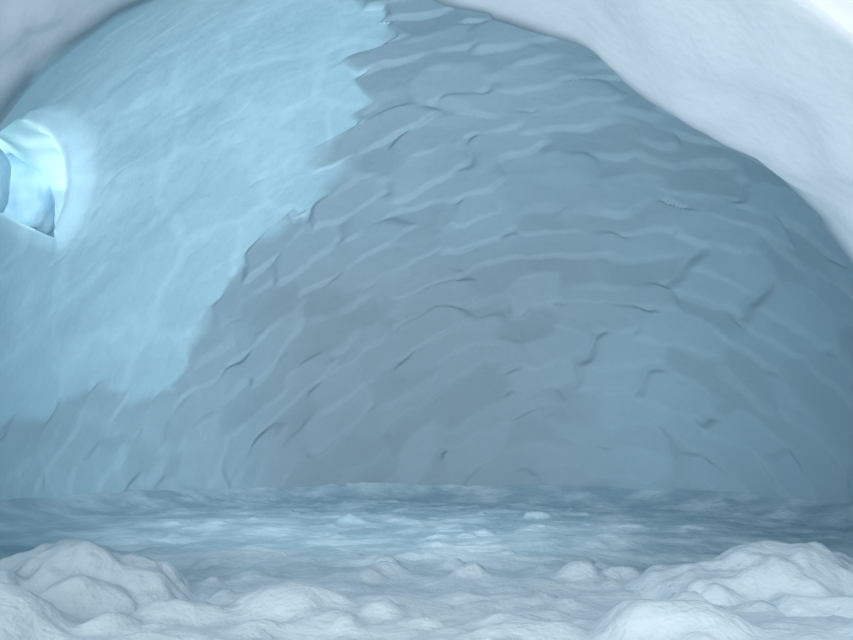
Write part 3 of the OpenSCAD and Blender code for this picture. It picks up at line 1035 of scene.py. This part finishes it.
def loose_lumps():
    """Lumps of loose snow on the floor: place, radius and height, thicker at the entrance."""
    draw = np.random.RandomState(77)
    lumps = list(LUMPS)
    for _ in range(340):
        x, y = draw.uniform(-1.1, 1.1), draw.uniform(-1.5, 1.0)
        front = float(eased(np.array((-y - 0.1) / 0.8)))
        radius = 0.014 + 0.016 * draw.uniform() ** 2 + 0.022 * front * draw.uniform() ** 2
        lumps.append((x, y, radius, radius * (0.25 + 0.35 * draw.uniform()) * (0.6 + 0.4 * front)))
    return lumps


def lump_height(x, y, lumps):
    """Height of the highest lump at each point."""
    flat = np.stack([x, y, 0 * x], 1)
    px = x + 0.020 * noise(flat, 0.055, 78) + 0.009 * noise(flat, 0.024, 79)
    py = y + 0.020 * noise(flat, 0.055, 80) + 0.009 * noise(flat, 0.024, 83)
    height = np.zeros(len(x))
    for cx, cy, radius, top in lumps:
        near = np.nonzero((np.abs(px - cx) < radius) & (np.abs(py - cy) < radius))[0]
        if len(near):
            away = np.clip(1 - ((px[near] - cx) ** 2 + (py[near] - cy) ** 2) / radius**2, 0, None)
            height[near] = soft_max(height[near], top * away, 0.010)
    return height


def floor_height(x, y, edge):
    """Height of the trodden floor; edge is how far a point is from the wall."""
    flat = np.stack([x, y, 0 * x], 1)
    front = eased((-y - 0.1) / 0.8)
    height = 0.009 * noise(flat, 0.42, 71) + (0.006 + 0.006 * front) * noise(flat, 0.16, 72)
    height += (0.3 + 0.7 * front) * 0.009 * noise(flat, 0.075, 73)
    height += 0.0028 * noise(flat, 0.034, 75) + 0.0014 * noise(flat, 0.017, 76)
    height += lump_height(x, y, loose_lumps())
    height += 0.050 * np.clip(1 - edge / 0.20, 0, 1) ** 2
    return sizes().floor_top - 0.006 + height


def floor_edge(turn):
    """Radius at which the floor meets the wall, which is the room's own radius at the entrance."""
    g = shell()
    row = g["inner"][len(FOOT_ROWS_Z)]
    radius = np.hypot(row[:, 0], row[:, 1])
    column = (np.degrees(turn) - FIRST_ANGLE) % 360 * COLUMNS_A_DEGREE
    found = np.interp(column, np.arange(COLUMNS + 1), np.append(radius, radius[0]))
    return np.minimum(found + 0.004, sizes().room_radius + 0.02 * (1 - in_entrance(turn)))


def in_entrance(turn):
    """1 at the angles that the entrance takes up, and 0 elsewhere."""
    angle = np.degrees(turn) % 360
    return eased((angle - 228) / 3) * eased((314 - angle) / 3)


def loose_and_daylit_tone(points):
    """How pale the floor's snow is, from 0 at the back to 1 at the entrance: loose snow there, and painted
    daylight that falls in at the entrance, less of it to the left.
    """
    wander = 0.12 * noise(points, 0.3, 81) + 0.05 * noise(points, 0.1, 82)
    left = eased((-points[:, 0] - 0.1) / 0.5)
    return np.clip(eased((-points[:, 1] - 0.25 + wander) / 0.85) * (1 - 0.6 * left) + 0.05 * left, 0, 1)


FLOOR_POINTS = 720
HEAP_POINTS = 240
HEAP_SKIRT = 1.12


def finish_floor(mesh, points, sharp):
    """Keeps the edges sharper than an angle in degrees, and adds the floor's tone of loose snow and painted
    daylight.
    """
    mesh.set_sharp_from_angle(angle=math.radians(sharp))
    put_tones(mesh, {"fresh": loose_and_daylit_tone(points)})
    return mesh


def disc_mesh(name, rings, middle, sharp):
    """A closed mesh under rings of points, from the edge in, over a flat foot round middle."""
    numbers, number = [], 0
    for ring in rings:
        numbers.append(np.arange(number, number + len(ring)))
        number += len(ring)
    count, edge = len(rings[0]), numbers[0]
    low = np.arange(number, number + count)
    side = np.stack([low, np.roll(low, -1), np.roll(edge, -1), edge], 1)
    under = np.stack([np.roll(low, -1), low, np.full(count, number + count)], 1)
    points = np.concatenate(rings + [rings[0] * (1, 1, 0) + (0, 0, middle[2]), np.array([middle])])
    mesh = make_mesh(name, points, [(f, None) for f in cap_faces(numbers) + [side, under]])
    return finish_floor(mesh, points, sharp)


def floor_mesh(name):
    rings, count, radius = [], FLOOR_POINTS, 1.0
    while radius > 0.02:
        turn = np.arange(count) * 2 * math.pi / count
        edge = floor_edge(turn)
        out = edge * radius
        x, y = out * np.cos(turn), out * np.sin(turn)
        gap = (edge - out) + 0.2 * in_entrance(turn)
        rings.append(np.stack([x, y, floor_height(x, y, gap)], 1))
        radius -= 0.0085
        if count > 90 and radius < 0.95 * count / (2 * FLOOR_POINTS):
            count //= 2
    middle = floor_height(np.zeros(1), np.zeros(1), np.ones(1))
    rings.append(np.array([[0, 0, middle[0]]]))
    return disc_mesh(name, rings, (0, 0, 0), 50)


def threshold_mesh(name):
    """The floor carried out between the jambs to the face of the mound."""
    s = sizes()
    rows, columns = 40, 160
    r = np.linspace(s.room_radius, s.outside_radius - 0.005, rows + 1)
    left = np.degrees(np.arccos((s.arch_offset - s.arch_half_width - 0.02) / r))
    right = np.degrees(np.arccos((s.arch_offset + s.arch_half_width + 0.02) / r))
    share = np.linspace(0, 1, columns + 1)
    turn = np.radians((360 - left)[:, None] * (1 - share) + (360 - right)[:, None] * share)
    x, y = r[:, None] * np.cos(turn), r[:, None] * np.sin(turn)
    top = floor_height(x.ravel(), y.ravel(), np.full(x.size, 1.0)).reshape(x.shape)
    worn = np.clip((r - s.outside_radius + 0.09) / 0.085, 0, 1)[:, None]
    ragged = noise(np.stack([x, y, 0 * x], -1).reshape(-1, 3), 0.1, 75).reshape(x.shape)
    top = top - 0.055 * worn**2.5 - 0.01 * ragged * worn
    upper = np.stack([x, y, np.maximum(top, 0.02)], -1).reshape(-1, 3)
    lower = upper * (1, 1, 0)
    points = np.concatenate([upper, lower])
    u = np.arange(x.size).reshape(x.shape)
    v = u + x.size
    ring_u = np.concatenate([u[0], u[1:, -1], u[-1, -2::-1], u[-2:0:-1, 0]])
    ring_v = ring_u + x.size
    side = np.stack([ring_u, ring_v, np.roll(ring_v, -1), np.roll(ring_u, -1)], 1)
    mesh = make_mesh(name, points, [(quads(u)[:, ::-1], None), (quads(v), None), (side[:, ::-1], None)])
    return finish_floor(mesh, points, 50)


def heap_mesh(name, node, seed):
    """A low heap of rounded lumps on the floor."""
    low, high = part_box(node)
    middle, half = (low + high) / 2, (high.x - low.x) / 2
    draw = np.random.RandomState(seed)
    lumps = [(middle.x, middle.y, 0.60 * half, sizes().heap_height)]
    for k in range(11):
        a, far = 2.4 * k + draw.uniform(), half * (0.35 + 0.4 * draw.uniform())
        radius = half * (0.48 - 0.22 * draw.uniform())
        lumps.append((middle.x + far * math.cos(a), middle.y + far * math.sin(a), radius,
                      sizes().heap_height * (0.85 - 0.9 * far / half + 0.3 * draw.uniform())))
    rings, count, radius = [], HEAP_POINTS, HEAP_SKIRT
    while radius > 0.03:
        a = np.arange(count) * 2 * math.pi / count
        way = np.stack([np.cos(a), np.sin(a), 0 * a], 1)
        reach = half * radius * (0.94 + 0.14 * noise(way, 0.6, seed))
        x, y = middle.x + reach * np.cos(a), middle.y + reach * np.sin(a)
        flat = np.stack([x, y, 0 * x], 1)
        grow = min((HEAP_SKIRT - radius) / 0.35, 1)
        z = sizes().floor_top - 0.02 + grow * (0.014 + lump_height(x, y, lumps))
        z += grow * relief(flat, ((0.010, 0.07, seed + 1), (0.006, 0.03, seed + 2)))
        rings.append(np.stack([x, y, z], 1))
        radius -= 0.026 if radius > 0.3 else 0.04
        if count > 60 and radius < 0.5 * count / HEAP_POINTS:
            count //= 2
    rings.append(rings[-1].mean(0)[None])
    return disc_mesh(name, rings, (middle.x, middle.y, sizes().floor_top - 0.04), 60)


def chunk_mesh(name, node, seed, shift, grow):
    """A worn block of snow that stands on the window sill."""
    low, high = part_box(node)
    middle, half = (low + high) / 2 + Vector(shift), (high - low) / 2 * grow
    middle.z = low.z + half.z
    around, over = 96, 48
    a = np.arange(around) * 2 * math.pi / around
    b = np.linspace(-math.pi / 2, math.pi / 2, over + 1)[1:-1]
    squeeze = lambda v, e: np.sign(v) * np.abs(v) ** e
    points = []
    for rise in b:
        flat = squeeze(math.cos(rise), 0.5)
        points.append(np.stack([
            half.x * flat * squeeze(np.cos(a), 0.62), half.y * flat * squeeze(np.sin(a), 0.62),
            np.full(around, half.z * squeeze(math.sin(rise), 0.62)),
        ], 1))
    points = np.concatenate(points + [np.array([[0, 0, half.z], [0, 0, -half.z]])])
    bump = relief(points, ((0.010, 0.10, seed), (0.005, 0.045, seed + 1), (0.002, 0.02, seed + 2)))
    points = points + bump[:, None] * unit(points) + np.array(middle)
    points[:, 2] = np.maximum(points[:, 2], low.z - 0.004)
    index = np.arange((over - 1) * around).reshape(over - 1, around)
    closed = np.concatenate([index, index[:, :1]], 1)
    top, bottom = len(points) - 2, len(points) - 1
    last, first = index[-1], index[0]
    groups = [
        (quads(closed), None),
        (np.stack([last, np.roll(last, -1), np.full(around, top)], 1), None),
        (np.stack([np.roll(first, -1), first, np.full(around, bottom)], 1), None),
    ]
    return make_mesh(name, points, groups)


# Operators

class BuildCourse:
    """Builds the lengths of one course of the wall"""

    course = ""

    def execute(self, context):
        rows = shell()["courses"][self.course]
        hole = window_cutter() if self.course == "upper" else None
        for node, angles in COURSES[self.course].items():
            name = "snow_" + node
            if node in ENTRANCE_NODES:
                mesh = front_mesh(name, rows, angles)
            else:
                mesh, points, normals = plain_mesh(name, rows, angles)
                if node in WINDOW_NODES:
                    mesh = cut_window(mesh, points, normals, hole)
            if not len(mesh.polygons):
                raise RuntimeError(node + " came out empty")
            place_piece(mesh, name, node, "wall_snow")
        return {"FINISHED"}


class IGLOO_OT_foot_course(BuildCourse, Operator):
    """Builds the lowest course of the wall, with the feet of the entrance"""

    bl_idname = "igloo.foot_course"
    bl_label = "Foot course"
    course = "foot"


class IGLOO_OT_middle_course(BuildCourse, Operator):
    """Builds the second course of the wall"""

    bl_idname = "igloo.middle_course"
    bl_label = "Middle course"
    course = "middle"


class IGLOO_OT_upper_course(BuildCourse, Operator):
    """Builds the third course, with the window and the brow of the entrance"""

    bl_idname = "igloo.upper_course"
    bl_label = "Upper course"
    course = "upper"


class IGLOO_OT_roof(BuildCourse, Operator):
    """Builds the roof's lengths round the crown"""

    bl_idname = "igloo.roof"
    bl_label = "Roof"
    course = "roof"


class IGLOO_OT_crown(Operator):
    """Builds the crown that closes the roof"""

    bl_idname = "igloo.crown"
    bl_label = "Crown"

    def execute(self, context):
        place_piece(crown_mesh("snow_crown"), "snow_crown", "crown", "wall_snow")
        return {"FINISHED"}


class IGLOO_OT_floor(Operator):
    """Builds the trodden floor and its threshold"""

    bl_idname = "igloo.floor"
    bl_label = "Floor"

    def execute(self, context):
        place_piece(floor_mesh("snow_floor"), "snow_floor", "floor", "trodden_snow")
        place_piece(threshold_mesh("snow_threshold"), "snow_threshold", "threshold", "trodden_snow")
        return {"FINISHED"}


class IGLOO_OT_heaps(Operator):
    """Builds the heaps of loose snow at the entrance"""

    bl_idname = "igloo.heaps"
    bl_label = "Heaps"

    def execute(self, context):
        for seed, node in ((90, "heap_left"), (95, "heap_right")):
            place_piece(heap_mesh("snow_" + node, node, seed), "snow_" + node, node, "trodden_snow")
        return {"FINISHED"}


class IGLOO_OT_chunks(Operator):
    """Builds the chunks of snow on the window sill"""

    bl_idname = "igloo.chunks"
    bl_label = "Sill chunks"

    # node, seed, how far it is moved towards the room and the back, and how much it is grown
    chunks = (
        ("sill_chunk_large", 101, (0.05, 0.05, 0), 1.12),
        ("sill_chunk_small", 105, (0.05, 0.07, 0), 1.1),
    )

    def execute(self, context):
        for node, *form in self.chunks:
            name = "snow_" + node
            place_piece(chunk_mesh(name, node, *form), name, node, "loose_snow")
        return {"FINISHED"}


def add_lamp(name, power, place, target, width, height, spread):
    data = bpy.data.lights.new(name, "AREA")
    data.energy, data.shape, data.size, data.size_y = power, "RECTANGLE", width, height
    data.spread = math.radians(spread)
    lamp = bpy.data.objects.new(name, data)
    lamp.location = place
    lamp.rotation_euler = (Vector(target) - Vector(place)).to_track_quat("-Z", "Y").to_euler()
    lamp.visible_camera = False
    bpy.context.scene.collection.objects.link(lamp)


# Lamps: place, target, width, height and spread in degrees
LAMPS = {
    "key_lamp": ((-3.2, -4.0, 4.2), (0, 0, 0.6), 3.0, 3.0, 180),
    "front_lamp": ((-0.2, -3.5, 0.75), (0, 0, 0.7), 3.2, 1.2, 180),
    "bounce_lamp": ((-0.1, -1.2, 0.22), (-0.1, -1.1, 1.2), 1.2, 0.4, 130),
    "room_lamp": ((0.3, -0.95, 0.58), (-0.1, 0.3, 0.74), 0.8, 0.4, 108),
    "side_lamp": ((-0.75, -0.45, 0.95), (0.35, 0.75, 0.55), 0.6, 0.5, 140),
    "window_lamp": ((-1.25, 0.02, 1.0), (0, 0.02, 1.0), 0.62, 0.16, 180),
    "reveal_lamp": ((-0.72, -0.38, 0.92), (-1.08, 0.16, 1.06), 0.12, 0.12, 45),
}
SKY_SEEN = colour(240, 246, 250)
GROUND_HALF = 30


class IGLOO_OT_studio(Operator):
    """Sets up the ground, the lamps, the sky and the camera"""

    bl_idname = "igloo.studio"
    bl_label = "Studio"

    def execute(self, context):
        scene, k = bpy.context.scene, bpy.context.scene.studio_settings
        mesh = bpy.data.meshes.new("ground")
        corners = [(x * GROUND_HALF, y * GROUND_HALF, 0) for x, y in ((-1, -1), (1, -1), (1, 1), (-1, 1))]
        mesh.from_pydata(corners, [], [(0, 1, 2, 3)])
        ground = bpy.data.objects.new("ground", mesh)
        ground.location.z = -0.001
        material, tree, shader, place = snow_base("ground")
        base = speckle(tree, place, colours().ground, 0.01)
        tree.links.new(base, shader.inputs["Base Color"])
        mesh.materials.append(material)
        scene.collection.objects.link(ground)
        world = bpy.data.worlds.new("sky")
        scene.world = world
        world.use_nodes = True
        tree = world.node_tree
        tree.nodes.clear()
        path = add_node(tree, "LightPath")
        seen = math_node(tree, "MAXIMUM", path.outputs["Is Camera Ray"], path.outputs["Is Glossy Ray"])
        seen = math_node(tree, "MAXIMUM", seen, path.outputs["Is Transmission Ray"])
        pale = add_node(tree, "Background", {}, Color=SKY_SEEN, Strength=1.0)
        light = add_node(tree, "Background", {}, Color=(1.0, 1.0, 1.0), Strength=k.sky)
        both = add_node(tree, "MixShader", {}, i0=seen)
        tree.links.new(light.outputs[0], both.inputs[1])
        tree.links.new(pale.outputs[0], both.inputs[2])
        end = add_node(tree, "OutputWorld")
        tree.links.new(both.outputs[0], end.inputs[0])
        for name, form in LAMPS.items():
            add_lamp(name, getattr(k, name), *form)
        camera = bpy.data.objects.new("camera", bpy.data.cameras.new("camera"))
        camera.data.lens, camera.data.sensor_width = k.lens, 36
        camera.location = (0, -k.camera_back, k.camera_height)
        camera.rotation_euler = (math.radians(90 + k.camera_tilt), 0, 0)
        camera.data.clip_start, camera.data.clip_end = 0.02, 100
        scene.collection.objects.link(camera)
        scene.camera = camera
        scene.view_settings.view_transform = "Standard"
        return {"FINISHED"}


class IGLOO_PT_panel(Panel):
    """Lists the steps that build the igloo"""

    bl_idname = "IGLOO_PT_panel"
    bl_label = "Igloo"
    bl_space_type = "VIEW_3D"
    bl_region_type = "UI"
    bl_category = "Igloo"

    def draw(self, context):
        for step in STEPS:
            self.layout.operator(step.bl_idname)


STEPS = (
    IGLOO_OT_foot_course, IGLOO_OT_middle_course, IGLOO_OT_upper_course, IGLOO_OT_roof, IGLOO_OT_crown,
    IGLOO_OT_floor, IGLOO_OT_heaps, IGLOO_OT_chunks, IGLOO_OT_studio,
)
GROUPS = {"igloo_sizes": IglooSizes, "snow_colours": SnowColours, "studio_settings": StudioSettings}


def register():
    for made in (*GROUPS.values(), *STEPS, IGLOO_PT_panel):
        bpy.utils.register_class(made)
    for name, made in GROUPS.items():
        setattr(bpy.types.Scene, name, PointerProperty(type=made))


def unregister():
    for name in GROUPS:
        delattr(bpy.types.Scene, name)
    for made in reversed((*GROUPS.values(), *STEPS, IGLOO_PT_panel)):
        bpy.utils.unregister_class(made)


def main():
    register()
    bpy.ops.igloo.foot_course()
    bpy.ops.igloo.middle_course()
    bpy.ops.igloo.upper_course()
    bpy.ops.igloo.roof()
    bpy.ops.igloo.crown()
    bpy.ops.igloo.floor()
    bpy.ops.igloo.heaps()
    bpy.ops.igloo.chunks()
    bpy.ops.igloo.studio()


if __name__ == "__main__":
    main()
